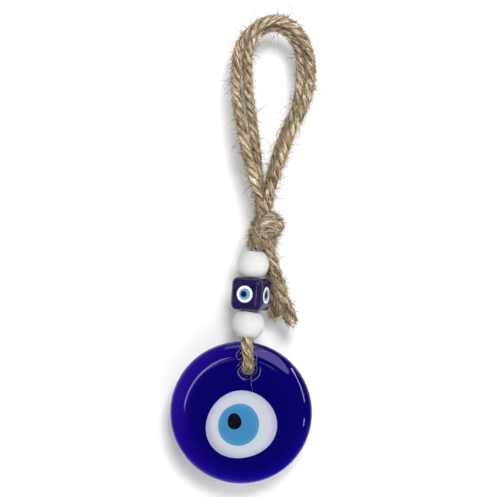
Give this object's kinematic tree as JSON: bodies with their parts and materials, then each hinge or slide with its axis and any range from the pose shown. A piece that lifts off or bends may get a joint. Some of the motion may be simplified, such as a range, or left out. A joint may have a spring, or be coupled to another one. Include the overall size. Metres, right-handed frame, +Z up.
{
  "type": "evil eye ornament",
  "caption": "Flat round blue glass disc with a white, light blue and black eye, hung by a knotted jute cord with wooden beads and a small glass cube bead.",
  "frame": {"origin": "the hang point: inside the top of the cord loop, where a hook or nail holds it", "axes": "+Z up, -Y out of the front that shows the eye, +X to the right as the eye is seen"},
  "size_m": [0.06, 0.0187, 0.1995],
  "materials": {
    "jute": "three-ply natural jute twine, dry and hairy",
    "white_painted_wood": "matte white paint over wood",
    "indigo_glass": "glossy opaque glass",
    "small_eye_white_glass": "glossy opaque glass",
    "small_eye_blue_glass": "glossy opaque glass",
    "small_eye_dark_glass": "glossy opaque glass",
    "cobalt_glass": "polished poured glass, deep cobalt blue, lighter where it is thin",
    "white_glass": "polished opaque glass",
    "light_blue_glass": "polished opaque glass",
    "black_glass": "polished opaque glass"
  },
  "bodies": {
    "hanger": {"loop_cord_outer": "jute", "loop_cord_inner": "jute", "overhand_knot": "jute", "tail_cord_right": "jute", "tail_cord_left": "jute"},
    "bead_string": {"bead_run_front": "jute", "bead_run_back": "jute", "disc_bight_cord": "jute"},
    "upper_bead": {"upper_white_bead": "white_painted_wood"},
    "cube_bead": {"cube_bead_body": "indigo_glass", "cube_eye_white_1": "small_eye_white_glass", "cube_eye_iris_1": "small_eye_blue_glass", "cube_eye_pupil_1": "small_eye_dark_glass", "cube_eye_white_2": "small_eye_white_glass", "cube_eye_iris_2": "small_eye_blue_glass", "cube_eye_pupil_2": "small_eye_dark_glass", "cube_eye_white_3": "small_eye_white_glass", "cube_eye_iris_3": "small_eye_blue_glass", "cube_eye_pupil_3": "small_eye_dark_glass", "cube_eye_white_4": "small_eye_white_glass", "cube_eye_iris_4": "small_eye_blue_glass", "cube_eye_pupil_4": "small_eye_dark_glass"},
    "lower_bead": {"lower_white_bead": "white_painted_wood"},
    "eye_disc": {"glass_disc": "cobalt_glass", "eye_white": "white_glass", "eye_iris": "light_blue_glass", "eye_pupil": "black_glass"}
  },
  "joints": [
    {"name": "pendant_swing", "type": "hinge", "parent": "hanger", "child": "bead_string", "pos_m": [0.0005, 0, -0.0939], "axis": [1, 0, 0], "range_deg": [-15, 8]},
    {"name": "upper_bead_spin", "type": "hinge", "parent": "bead_string", "child": "upper_bead", "pos_m": [0.0005, 0, -0.09965], "axis": [0, 0, 1], "continuous": true},
    {"name": "cube_bead_spin", "type": "hinge", "parent": "bead_string", "child": "cube_bead", "pos_m": [0.0005, 0, -0.11235], "axis": [0, 0, 1], "continuous": true},
    {"name": "lower_bead_spin", "type": "hinge", "parent": "bead_string", "child": "lower_bead", "pos_m": [0.0005, 0, -0.12505], "axis": [0, 0, 1], "continuous": true},
    {"name": "disc_swing", "type": "hinge", "parent": "bead_string", "child": "eye_disc", "pos_m": [0.0016, 0, -0.14275], "axis": [0, 1, 0], "range_deg": [-20, 8]}
  ]
}
